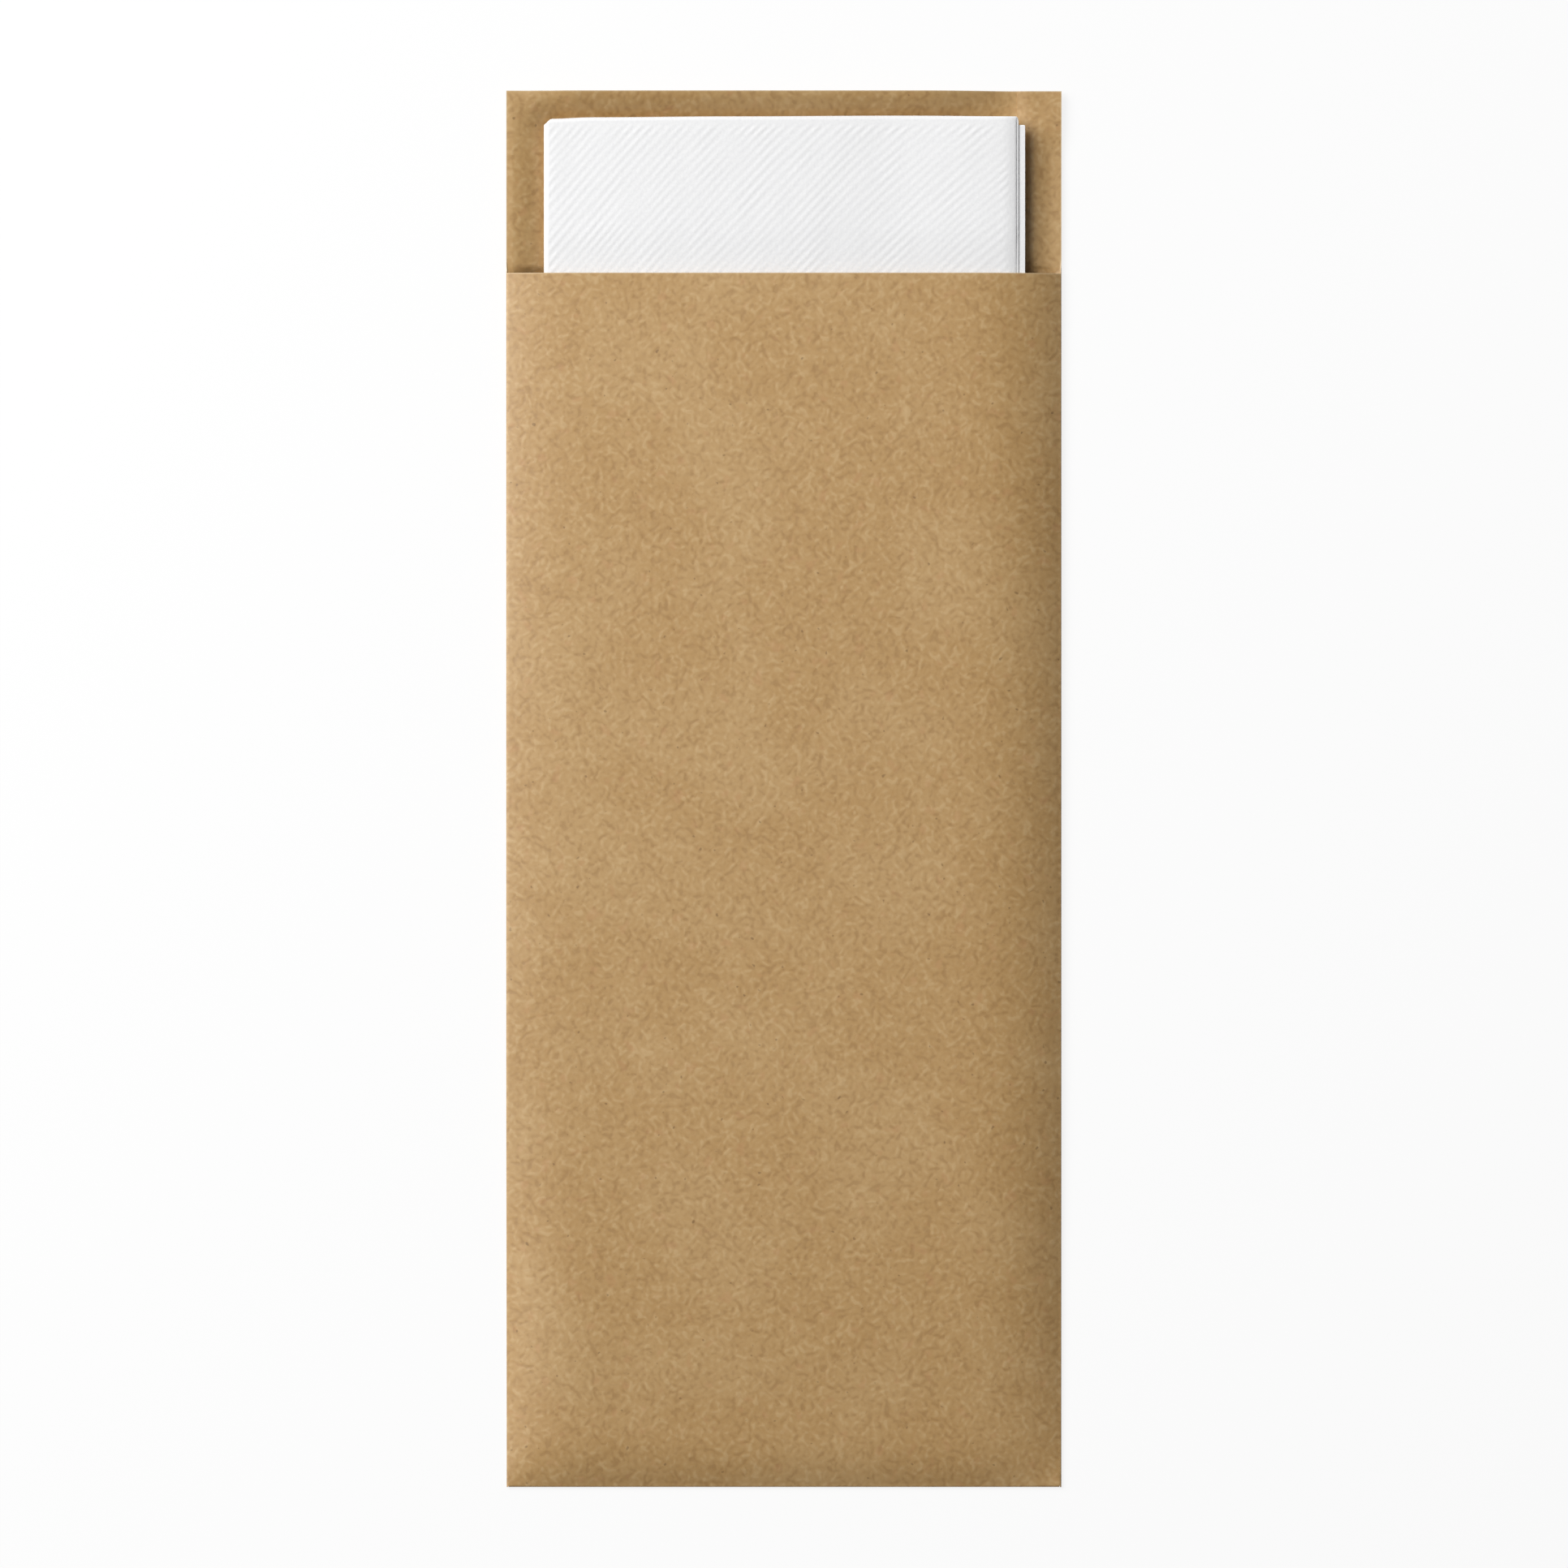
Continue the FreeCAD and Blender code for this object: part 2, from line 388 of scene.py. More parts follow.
        height = s.add("Math", TIMES_PLUS, i0=grain, i1=self.grain_share, i2=felt)
        bump = s.add("Bump", Height=height, Strength=1.0, Distance=self.relief_mm * MM)
        skin = s.add(
            "BsdfPrincipled", Base_Color=tone, Roughness=self.roughness, IOR=1.5,
            Specular_IOR_Level=self.specular, Normal=bump,
        )
        s.add("OutputMaterial", Surface=skin)
        return material


@dataclass(frozen=True)
class EmbossedTissue:
    """Two-ply white cellulose tissue, calendered and embossed.

    The eye sees a soft, matt, neutral white with a fine crepe grain and faint diagonal ribs,
    which are in the mesh. The crepe's hollows carry a faint painted shade.
    """

    face: str = "#F4F4F4"
    # painted shade: the crepe's low points are a touch darker
    crepe_hollow_shade: str = "#EFEFF0"
    crepe_per_mm: float = 1.9  # the crepe's wrinkles are half a millimetre apart
    cloud_per_mm: float = 0.16
    cloud_share: float = 1.2  # height of the soft unevenness beside that of the crepe
    relief_mm: float = 0.02
    roughness: float = 0.95
    specular: float = 0.15

    def build(self) -> bpy.types.Material:
        """Build the material's nodes.

        Returns:
            The new material.
        """
        material = bpy.data.materials.new("embossed_white_tissue")
        s = Nodes.empty(material)
        flat = s.add("Attribute", {"attribute_name": FLAT}).outputs["Vector"]
        crepe = s.add("TexNoise", PLANE, Vector=flat, Scale=self.crepe_per_mm, Detail=4.0)
        cloud = s.add("TexNoise", PLANE, Vector=flat, Scale=self.cloud_per_mm, Detail=2.0)
        share = s.add("MapRange", Value=crepe, From_Min=0.3, From_Max=0.7)
        # painted shade: darker where the crepe is low, lighter where it is high
        tone = s.add("Mix", COLOUR, i0=share, i6=linear(self.crepe_hollow_shade), i7=linear(self.face))
        height = s.add("Math", TIMES_PLUS, i0=cloud, i1=self.cloud_share, i2=crepe)
        bump = s.add("Bump", Height=height, Strength=1.0, Distance=self.relief_mm * MM)
        skin = s.add(
            "BsdfPrincipled", Base_Color=tone, Roughness=self.roughness,
            Specular_IOR_Level=self.specular, Normal=bump,
        )
        s.add("OutputMaterial", Surface=skin)
        return material


# ---- The pouch ----


class Panel(Enum):
    """The parts of the pouch's tube, in the order of the flat sheet's columns."""

    BACK = "back panel"
    LEFT_FOLD = "left fold"
    FRONT = "front panel"
    RIGHT_FOLD = "right fold"
    SEAM = "seam strip"


@dataclass
class Pouch:
    """One sheet of kraft paper, folded to a flat tube, glued at the right and at the bottom.

    Pairs named for x or y are the places where something starts and is full; mouth_y pairs
    count from the mouth, the others from the pouch's middle.
    """

    width: float = 95.0
    height: float = 239.0
    paper: float = 0.12
    mouth_step: float = 31.2
    flap: float = 31.0
    lap: float = 7.6
    setback: float = 0.9
    glue: float = 0.012
    fold_level: float = 0.66  # middle of the front sheet over its pressed edges
    foot_turn: float = 1.0  # length of the bottom fold's turn on the flat sheet
    open_reach: float = 2.5  # above the mouth the side folds flatten out over this much

    lift: Pair = (2.8, 0.5)  # the filled pouch holds its left and right folds up
    lift_from: Pair = (39.3, 41.6)  # the rise starts this far left and right of the middle
    lift_up: Pair = (4.0, 75.0)  # and grows over this stretch above the bottom fold
    curl: float = 3.4  # the free top edge behind the napkin curls up this far
    curl_reach: float = 5.3  # over this last stretch of the panel
    curl_ends: Tuple[Pair, Pair] = ((1.5, 10.0), (1.0, 23.5))  # it grows inward from both corners
    step: float = 0.9  # right of the napkin the free back panel stands this far over the pocket
    step_x: Pair = (38.0, 42.5)
    step_mouth_y: Pair = (-0.6, 4.2)
    relax: float = 0.6  # and has lost this share of its fold's lift
    droop: float = 0.6  # towards its edge it comes down again by this share of the step
    droop_x: Pair = (42.0, 46.0)
    droop_down: Pair = (5.0, 11.0)  # but not next to the top edge, counted downward from there
    dip: float = 1.6  # the back panel dips this far behind the mouth's edge, beside the napkin
    dip_x: Pair = (39.5, 42.0)
    dip_fade: Pair = (5.0, 2.8)  # it fades over this much at the left and right folds
    dip_mouth_y: Pair = (-14.0, -3.0)
    dip_end_mouth_y: Pair = (-0.5, 1.4)
    flap_slope: Pair = (1.8, 4.6)  # the back panel comes down from the flap this far past it

    foot_roll: float = 1.35  # the front panel rises this far just over the bottom fold
    foot_curve: Pair = (9.0, 2.4)  # over this much, this steeply at first
    belly: float = 2.25  # and this far more over the rest of its foot
    belly_curve: Pair = (66.0, 2.4)
    crown: float = 0.2  # and this far more at mid height
    crown_y: Pair = (-40.0, 60.0)
    left_flank: Pair = (17.0, 3.0)  # and levels out over this much beside the folds
    right_flank: Pair = (20.0, 3.0)
    waves: Tuple[Triple, ...] = ((0.05, 34.0, 5.0), (0.02, 13.0, 9.0))  # height, length, seed
    calm: float = 12.0  # they grow to their full height over this much from the folds
    fold_cells: int = 8
    paper_finish: KraftPaper = field(default_factory=KraftPaper)

    def __post_init__(self) -> None:
        """Work out the outline from the sizes."""
        self.top = self.height / 2
        self.right = self.width / 2
        self.mouth = self.top - self.mouth_step
        self.flap_y = -self.top + self.flap
        self.fold_x = self.right - self.fold_radius() - self.paper / 2
        self.low_y = -self.top + self.fold_level / 2 + self.paper / 4
        self.lay_out()

    def fold_radius(self) -> float:
        """Radius of a side fold's middle line, between the back panel and the front."""
        return (self.fold_level - self.paper) / 2

    def side_lift(self, x: float, y: float) -> float:
        """How far the side folds stand off the table: most along the napkin, none at the foot.

        Args:
            x: place across, between the folds' two lifts.
            y: place along.

        Returns:
            The lift in millimetres.
        """
        left, right = self.lift
        full = left + (right - left) * smooth(x, -self.fold_x, self.fold_x)
        return full * smooth(y - self.low_y, *self.lift_up)

    def curled(self, x: float, y: float) -> float:
        """How far the free top edge has curled up.

        Args:
            x: place across.
            y: place along.

        Returns:
            The height in millimetres.
        """
        left, right = self.curl_ends
        share = lift_off(max(0.0, 1 - (self.top - y) / self.curl_reach), 0.05)
        ends = smooth(x + self.right, *left) * smooth(self.right - x, *right)
        return self.curl * (0.4 * share + 0.6 * (1 - (1 - share) ** 2)) * ends

    def ground(self, x: float, y: float) -> float:
        """How far the underside has bowed up from the table.

        Args:
            x: place across.
            y: place along.

        Returns:
            The height in millimetres.
        """
        side = 0 if x < 0 else 1
        over = y - self.mouth
        start = self.lift_from[side]
        clear = smooth(over, *self.step_mouth_y) * smooth(x, *self.step_x)
        held = self.side_lift(x, y) * bow((abs(x) - start) / (self.fold_x - start))
        held *= 1 - self.relax * clear
        low = smooth(over, *self.dip_mouth_y) * (1 - smooth(over, *self.dip_end_mouth_y))
        low *= smooth(abs(x), *self.dip_x) * smooth(self.fold_x - abs(x), 0.0, self.dip_fade[side])
        sag = self.droop * smooth(x, *self.droop_x) * smooth(self.top - y, *self.droop_down)
        stand = self.step * clear * (1 - sag)
        return max(0.0, held - self.dip * low) + stand + self.curled(x, y)

    def back_z(self, x: float, y: float) -> float:
        """Middle of the back panel: it lies on the table and climbs onto the bottom flap."""
        climb = 1 - smooth(y - self.flap_y, *self.flap_slope)
        return self.paper / 2 + (self.paper + self.glue) * climb + self.ground(x, y)

    def lap_z(self, x: float, y: float) -> float:
        """Middle of the seam strip, glued on the back panel."""
        return self.back_z(x, y) + self.paper + self.glue

    def swell(self, y: float) -> float:
        """How far the middle of the front panel has risen over its pressed edges.

        Args:
            y: place along.

        Returns:
            The height in millimetres.
        """
        up = y - self.low_y
        rise = self.foot_roll * ease(up, *self.foot_curve)
        rise += self.belly * ease(up, *self.belly_curve)
        return rise + self.crown * smooth(y, *self.crown_y)

    def front_z(self, x: float, y: float) -> float:
        """Middle of the front panel: a soft pillow held down along three folds.

        Args:
            x: place across.
            y: place along.

        Returns:
            The height in millimetres.
        """
        left = ease(x + self.fold_x, *self.left_flank)
        right = ease(self.fold_x - x, *self.right_flank)
        held = self.side_lift(x, y)
        rise = (self.swell(y) - held) * left * right
        loose = min(1.0, min(x + self.fold_x, self.fold_x - x, y - self.low_y) / self.calm)
        wave = sum(height * ripple(x, y, length, seed) for height, length, seed in self.waves)
        return self.fold_level - self.paper / 2 + held + rise + wave * loose

    def lay_out(self) -> None:
        """Set the stations across and along the flat sheet, each list from mark to mark."""
        fold = self.fold_x
        cut = self.right - self.setback
        strip = self.right - self.lap
        self.back_xs = steps([(cut, 0.3), (cut - 1.2, 2.2), (1 - fold, 0.5), (-fold, 0.5)])
        self.front_xs = steps([
            (-fold, 0.35), (3 - fold, 0.8), (26 - fold, 1.5), (fold - 26, 0.8),
            (fold - 3, 0.35), (fold, 1.0),
        ])
        self.lap_xs = steps([(fold, 0.5), (strip + 0.6, 0.3), (strip, 1)])
        n = self.fold_cells
        self.back_end = len(self.back_xs) - 1
        self.front_start = self.back_end + n
        self.front_end = self.front_start + len(self.front_xs) - 1
        self.lap_start = self.front_end + n
        self.columns = self.lap_start + len(self.lap_xs)
        self.flap_ys = steps([(self.flap_y, 0.3), (self.flap_y - 1.2, 2.4), (self.low_y, 1)])
        self.body_ys = steps([
            (self.low_y, 0.4), (self.low_y + 8, 1.0), (self.low_y + 16, 2.0),
            (self.mouth - 6, 1.0), (self.mouth - 1.5, 0.3), (self.mouth, 0.3),
            (self.mouth + 3, 1.5), (self.top - 1.2, 0.3), (self.top, 1),
        ])
        self.body_start = len(self.flap_ys) - 1 + n
        self.mouth_row = self.body_start + self.body_ys.index(self.mouth)
        self.rows = self.body_start + len(self.body_ys)

    def panel(self, i: int) -> Panel:
        """The part of the tube that a column belongs to.

        Args:
            i: column of the flat grid.

        Returns:
            Its part.
        """
        if i <= self.back_end:
            return Panel.BACK
        if i < self.front_start:
            return Panel.LEFT_FOLD
        if i <= self.front_end:
            return Panel.FRONT
        return Panel.RIGHT_FOLD if i < self.lap_start else Panel.SEAM

    def keep(self, i: int, j: int) -> bool:
        """Whether a cell of the flat grid is paper.

        Args:
            i: the cell's column.
            j: the cell's row.

        Returns:
            False where the sheet is cut away: beside the flap, and over the front panel.
        """
        half = self.fold_cells // 2
        above = j >= self.mouth_row
        if self.front_start <= i < self.front_end:
            return not above
        if above:
            return i < self.back_end + half or i >= self.lap_start - half
        return j >= self.body_start

    def side_point(self, i: int, y: float) -> Vector:
        """A point of the tube at height y, by column.

        Args:
            i: column of the flat grid.
            y: height on the pouch.

        Returns:
            The point in millimetres.
        """
        panel = self.panel(i)
        if panel is Panel.BACK:
            x = self.back_xs[i]
            return Vector((x, y, self.back_z(x, y)))
        if panel is Panel.SEAM:
            x = self.lap_xs[i - self.lap_start]
            return Vector((x, y, self.lap_z(x, y)))
        if panel is Panel.FRONT:
            x = self.front_xs[i - self.front_start]
            return Vector((x, y, self.front_z(x, y)))
        left = panel is Panel.LEFT_FOLD
        sign = -1 if left else 1
        edge = sign * self.fold_x
        low = self.back_z(edge, y) if left else self.lap_z(edge, y)
        high = self.front_z(edge, y)
        share = (i - self.back_end if left else self.lap_start - i) / self.fold_cells
        radius = (high - low) / 2
        bulge = self.right - self.paper / 2 - self.fold_x
        inner = 0.05  # the front panel's slope is taken this far inside it
        slope = math.atan2(self.front_z(edge - sign * inner, y) - high, inner)
        turn = -math.pi / 2 + (math.pi - slope) * share
        out = self.fold_x + bulge * math.cos(turn)
        z = low + radius + radius * math.sin(turn)
        flat_out = self.fold_x + (bulge + self.paper / 2) * min(1.0, 2 * share)
        open_up = smooth(y, self.mouth, self.mouth + self.open_reach)
        out += (flat_out - out) * open_up
        z += (low - z) * open_up
        return Vector((sign * out, y, z))

    def place(self, i: int, j: int) -> Tuple[Vector, Vector, float]:
        """Where vertex (i, j) of the flat grid goes.

        Args:
            i: column.
            j: row.

        Returns:
            Folded place, flat place and distance from a cut edge, in millimetres.
        """
        if j >= self.body_start:
            along = self.body_ys[j - self.body_start]
            point = self.side_point(i, along)
            if j == self.body_start and self.panel(i) in (Panel.LEFT_FOLD, Panel.RIGHT_FOLD):
                point.y = -self.top
        else:
            x = self.front_xs[min(max(i - self.front_start, 0), len(self.front_xs) - 1)]
            if j < len(self.flap_ys):
                y = self.flap_ys[j]
                point = Vector((x, y, self.paper / 2 + self.ground(x, y)))
                along = 2 * self.low_y - y - self.foot_turn
            else:
                turn = math.pi * (j - len(self.flap_ys) + 1) / self.fold_cells
                radius = (self.front_z(x, self.low_y) - self.paper / 2) / 2
                reach = self.low_y + self.top - self.paper / 2
                point = Vector((
                    x,
                    self.low_y - reach * math.sin(turn),
                    self.paper / 2 + radius - radius * math.cos(turn),
                ))
                along = self.low_y - self.foot_turn * (1 - turn / math.pi)
        return point, Vector((self.run_across(i), along, 0.0)), self.from_cut(i, j)

    def run_across(self, i: int) -> float:
        """Distance across the flat sheet, from the middle of the front panel.

        Args:
            i: column of the flat grid.

        Returns:
            The distance in millimetres, negative to the left.
        """
        panel = self.panel(i)
        arc = math.pi * self.fold_radius()
        if panel is Panel.BACK:
            return -self.fold_x - arc - (self.back_xs[i] + self.fold_x)
        if panel is Panel.SEAM:
            return self.fold_x + arc + (self.fold_x - self.lap_xs[i - self.lap_start])
        if panel is Panel.LEFT_FOLD:
            return -self.fold_x - arc * (self.front_start - i) / self.fold_cells
        if panel is Panel.RIGHT_FOLD:
            return self.fold_x + arc * (i - self.front_end) / self.fold_cells
        return self.front_xs[i - self.front_start]

    def from_cut(self, i: int, j: int) -> float:
        """Distance from the nearest cut edge of the flat sheet.

        Args:
            i: column.
            j: row.

        Returns:
            The distance in millimetres; 9 stands for any that is further.
        """
        half = self.fold_cells // 2
        panel = self.panel(i)
        y = self.body_ys[j - self.body_start] if j >= self.body_start else self.low_y
        near = [9.0]
        if j < len(self.flap_ys):
            near.append(abs(self.flap_ys[j] - self.flap_y))
        if panel is Panel.FRONT or self.back_end + half < i < self.lap_start - half:
            near.append(abs(self.mouth - y))
        else:
            near.append(abs(self.top - y))
            if y > self.mouth:
                rim = self.fold_x + 0.5 * math.pi * self.fold_radius()
                near.append(abs(abs(self.run_across(i)) - rim))
        if panel is Panel.BACK:
            near.append(abs(self.right - self.setback - self.back_xs[i]))
        return min(near)

    def build(self) -> bpy.types.Object:
        """Fold, thicken and dress the pouch, and put it in the frame.

        Returns:
            The finished piece.
        """
        piece = folded_sheet("kraft_pouch", self.columns, self.rows, self.keep, self.place)
        thicken(piece, self.paper)
        piece.data.materials.append(self.paper_finish.build())
        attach(piece, "root")
        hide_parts("pouch")
        return piece


# ---- The napkin ----


@dataclass
class Napkin:
    """One square sheet of tissue, folded three times: right edge, top edge, then left spine.

    Pairs named for x or y are as in the pouch.
    """

    pouch: Pouch
    side: float = 327.0
    tissue: float = 0.19
    pitch: float = 0.41
    left: float = -41.8
    front_right: float = 39.6
    back_right: float = 41.22
    top: float = 114.84
    base: float = 0.28  # lowest point, just clear of the seam strip
    slack: float = 0.1  # share of the layers' different turns that shows at the foot
    stagger: float = 0.3  # and the same at the open right edges
    slip: float = 0.05  # the back half has slipped up this far
    # The line of the front half's folded top: place across, height over the mean.
    top_marks: Tuple[Pair, ...] = (
        (-41.2, -1.0), (-40.0, -0.12), (-32.8, 0.14), (-9.2, 0.3), (18.6, 0.42), (40.0, 0.3),
    )
    top_reach: float = 40.0  # it fades out over this much down the napkin

    thinner: float = 0.02  # share of the stack's height that is lost at its closed edges
    thinner_reach: float = 3.0
    thicker: float = 0.03  # and that is gained in its middle
    thicker_in: Pair = (2.0, 30.0)  # from this far inside the edges to this far
    uneven: Triple = (0.01, 16.0, 3.0)  # share that varies over the face, length, seed
    uneven_in: Pair = (1.0, 6.0)
    lean: float = 2.0  # the upper layers overhang the lowest by this much at the left and the top
    lean_reach: float = 6.0
    lean_end: float = 0.78  # at the top, layers over this share of the stack lie flush
    shear: float = 0.8  # the front half's lower layers stick out this far at the right
    shear_reach: float = 6.0
    gather: float = 0.36  # at the right the lower layers crowd up towards the top ones
    gather_x: Pair = (20.0, 38.6)
    pressed: float = 0.75  # and the tissue has lost this share of its loft
    pressed_x: Pair = (24.0, 38.0)
    spring: float = 1.45  # the open right edges spring this far off the back panel
    spring_x: Pair = (30.0, 41.22)
    spring_mouth_y: Pair = (-12.0, -2.0)
    flare: float = 0.85  # over the mouth they rise this much more
    flare_x: Pair = (16.0, 39.6)
    flare_mouth_y: Pair = (-14.0, 8.0)
    droop: float = 0.22  # the front half's right edge rolls down this far
    droop_reach: float = 2.2
    press: float = 0.35  # the front panel presses the napkin down this far
    free_mouth_y: Pair = (-1.0, 8.0)  # and lets it go over this stretch

    rib_sets: Tuple[Triple, ...] = ((1.0, 44.5, 1.27), (0.3, 49.0, 1.1))  # share, degrees, spacing
    rib_turn: float = 0.075  # they are this many degrees flatter for each millimetre to the right
    rib_wander: Triple = (0.3, 7.0, 21.0)  # how many spacings they stray, length, seed
    rib_crest: float = 0.25  # their crests are sharper than their troughs by this share
    rib_wear: Triple = (0.45, 7.0, 33.0)  # how much their height varies, length, seed
    rib_full: float = 0.9  # about this share of their depth
    rib_least: float = 0.3  # which never falls under this one
    rib_depth: float = 0.025
    cushion: float = 0.03  # soft unevenness of the showing face
    cushions: Tuple[Triple, ...] = ((0.6, 6.5, 71.0), (0.4, 3.2, 83.0))  # share, length, seed
    emboss_in: Pair = (0.6, 2.2)  # ribs and cushions start this far inside the edges

    fine: float = 1.25  # cells of the flat grid where the napkin shows
    coarse: Pair = (3.2, 3.6)  # and where it doesn't, across and along
    fold_cells: Tuple[int, int] = (8, 10)  # round the first fold and the second
    rib_cuts: int = 3  # further divisions of a fine cell for the ribs
    finish: EmbossedTissue = field(default_factory=EmbossedTissue)

    def __post_init__(self) -> None:
        """Work out the fold radii and lines from the layer pitch."""
        self.r1 = self.pitch / 2
        self.r2 = self.pitch
        self.r3 = 2 * self.pitch
        self.outer = 3.5 * self.pitch + self.tissue / 2
        self.spine_x = self.left + self.outer
        self.fold1_x = self.front_right - self.r1 - self.tissue / 2
        self.fold2_y = self.top - 1.5 * self.pitch - self.tissue / 2
        self.middle = self.base + self.outer
        spine_turn = math.pi * (self.r3 - self.stagger * 1.5 * self.pitch)
        widths = (self.fold1_x - self.spine_x) + (self.back_right - self.spine_x)
        self.half_a = math.pi * self.r1 / 2 + widths + spine_turn
        self.half_b = self.side / 2
        self.stations()

    def stations(self) -> None:
        """Set the grid's stations: fine in the folds and where the napkin shows."""
        first = math.pi * self.r1 / 2
        spine = first + self.fold1_x - self.spine_x
        turned = spine + math.pi * (self.r3 + self.stagger * 1.5 * self.pitch)
        second = math.pi * (self.r2 + self.slack * self.r1) / 2
        shown = self.top - self.pouch.mouth + 3.0
        cut = self.half_a
        back = [(spine, 0.23), (turned, 0.5), (turned + 1.6, 2.8), (cut - 4, 0.6), (cut, 1.0)]

        def across(cell: float) -> List[float]:
            """Stations from the first fold to the cut edge, this far apart up to the spine."""
            return steps([(first, 0.4), (first + 2.4, cell), (spine - 1.2, 0.4), *back])

        def along(cell: float) -> List[float]:
            """Stations from the second fold to the cut edge, this far apart where it shows."""
            return steps([(second, 0.4), (second + 2.4, cell), (shown, 5.0), (self.half_b, 1.0)])

        def through(half: float, cells: int) -> List[float]:
            """Stations between -half and half, in a fold."""
            return [half * (2 * k / cells - 1) for k in range(1, cells)]

        self.a_list = [-v for v in reversed(across(self.fine))]
        self.a_list += through(first, self.fold_cells[0]) + across(self.coarse[0])
        self.b_list = [-v for v in reversed(along(self.coarse[1]))]
        self.b_list += through(second, self.fold_cells[1]) + along(self.fine)

    def top_line(self, x: float) -> float:
        """How far the front half's folded top stands over or under its mean line.

        Args:
            x: place across.

        Returns:
            The height in millimetres.
        """
        for (x0, v0), (x1, v1) in zip(self.top_marks, self.top_marks[1:]):
            if x <= x1:
                return v0 + (v1 - v0) * smooth(x, x0, x1)
        return self.top_marks[-1][1]

    def bend(self, p: float, n: float, radius: float, slip: float) -> Tuple[float, float, float]:
        """Bend a layer half a turn, downward.

        Args:
            p: distance along the layer past the start of the bend.
            n: the layer's height over the stack's middle.
            radius: radius of the stack's middle in the bend.
            slip: share of the layers' different turns that they keep.

        Returns:
            New p, new n and the share of the turn done.
        """
        own = radius + n
        arc = math.pi * (radius + slip * n)
        if p <= 0:
            return p, n, 0.0
        if p >= arc:
            return arc - p, -2 * radius - n, 1.0
        turn = math.pi * p / arc
        return own * math.sin(turn), -radius + own * math.cos(turn), turn / math.pi

    def fold(self, a: float, b: float) -> Tuple[Vector, float]:
        """Fold one point of the flat sheet.

        Args:
            a: distance across from the first fold line; negative is the upper layer.
            b: distance along from the second fold line; positive is the front.

        Returns:
            The folded place in millimetres, and how far round the spine it is, 0 to 1.
        """
        run = a + math.pi * self.r1 / 2
        if run <= 0:
            x, n = self.fold1_x + run, self.r1
        elif run >= math.pi * self.r1:
            x, n = self.fold1_x - (run - math.pi * self.r1), -self.r1
        else:
            x = self.fold1_x + self.r1 * math.sin(run / self.r1)
            n = self.r1 * math.cos(run / self.r1)
        half_turn = math.pi * (self.r2 + self.slack * n) / 2
        q, n, _ = self.bend(half_turn - b, n, self.r2, self.slack)
        y = self.fold2_y + q
        p, n, turned = self.bend(self.spine_x - x, n + self.r2, self.r3, self.stagger)
        return Vector((self.spine_x - p, y, self.middle + self.r3 + n)), turned

    def settle(self, point: Vector, turned: float) -> Vector:
        """Settle a folded point: edges press down, the middle swells, the halves slip a little.

        Args:
            point: the cleanly folded place.
            turned: how far round the spine it is.

        Returns:
            The settled place in millimetres.
        """
        x, y, z = point
        right = self.front_right + (self.back_right - self.front_right) * turned
        near_top = smooth(y, self.fold2_y - self.top_reach, self.fold2_y)
        y += self.slip * smooth(turned, 0.0, 1.0) + self.top_line(x) * (1 - turned) * near_top

        inside = min(x - self.left, self.top - y + 0.4)  # the top line stands up to 0.4 higher
        share, length, seed = self.uneven
        loft = 1 - self.thinner * (1 - smooth(inside, 0.0, self.thinner_reach))
        loft += self.thicker * smooth(min(inside, right - x), *self.thicker_in)
        loft += share * ripple(x, y, length, seed) * smooth(inside, *self.uneven_in)

        level = max(0.0, (z - self.base) / (2 * self.outer))
        below = max(0.0, 1 - level)
        x += self.lean * below * (1 - smooth(x - self.left, 0.0, self.lean_reach))
        set_back = self.lean * max(0.0, 1 - level / self.lean_end)
        y -= set_back * smooth(y, self.top - self.lean_reach, self.top)
        x += self.shear * (1 - turned) * 2 * below * smooth(x, right - self.shear_reach, right)

        front = max(0.0, 2 * level - 1)
        level = level ** (1 - self.gather * smooth(x, *self.gather_x))
        over = y - self.pouch.mouth
        open_x, free = smooth(x, *self.spring_x), smooth(over, *self.free_mouth_y)
        low = self.base + self.spring * open_x * smooth(over, *self.spring_mouth_y)
        high = self.base + 2 * self.outer * loft - self.press * (1 - free)
        rise = self.flare * smooth(x, *self.flare_x) * smooth(over, *self.flare_mouth_y)
        roll = max(0.0, 1 - max(0.0, right - x) / self.droop_reach) ** 2
        return Vector((x, y, low + (high - low) * level + rise - self.droop * front * roll))

    def rib(self, x: float, y: float) -> float:
        """The emboss: low diagonal ribs rising to the right, uneven and broken in places.

        Args:
            x: place across.
            y: place along.

        Returns:
            The height as a share of the ribs' depth, about -1 to 1.
        """
        high = y - (self.top + self.pouch.mouth) / 2
        stray, length, seed = self.rib_wander
        total = 0.0
        for part, degrees, pitch in self.rib_sets:
            lean = math.radians(degrees - self.rib_turn * x)
            across = -x * math.sin(lean) + high * math.cos(lean)
            along = x * math.cos(lean) + high * math.sin(lean)
            wander = stray * ripple(along * 0.3, across, length, seed + degrees)  # long waves
            total += part * math.sin(2 * math.pi * (across / pitch + wander))
        vary, length, seed = self.rib_wear
        wear = max(self.rib_least, self.rib_full + vary * ripple(x, y, length, seed))
        return (total + self.rib_crest * total * total) * wear

    def place(self, i: int, j: int) -> Tuple[Vector, Vector, float]:
        """Where vertex (i, j) of the flat grid goes.

        Args:
            i: column.
            j: row.

        Returns:
            Folded place, flat place and distance from a cut edge, in millimetres.
        """
        a, b = self.a_list[i], self.b_list[j]
        edge = min(self.half_a - abs(a), self.half_b - abs(b))
        return self.settle(*self.fold(a, b)), Vector((a, b, 0.0)), edge

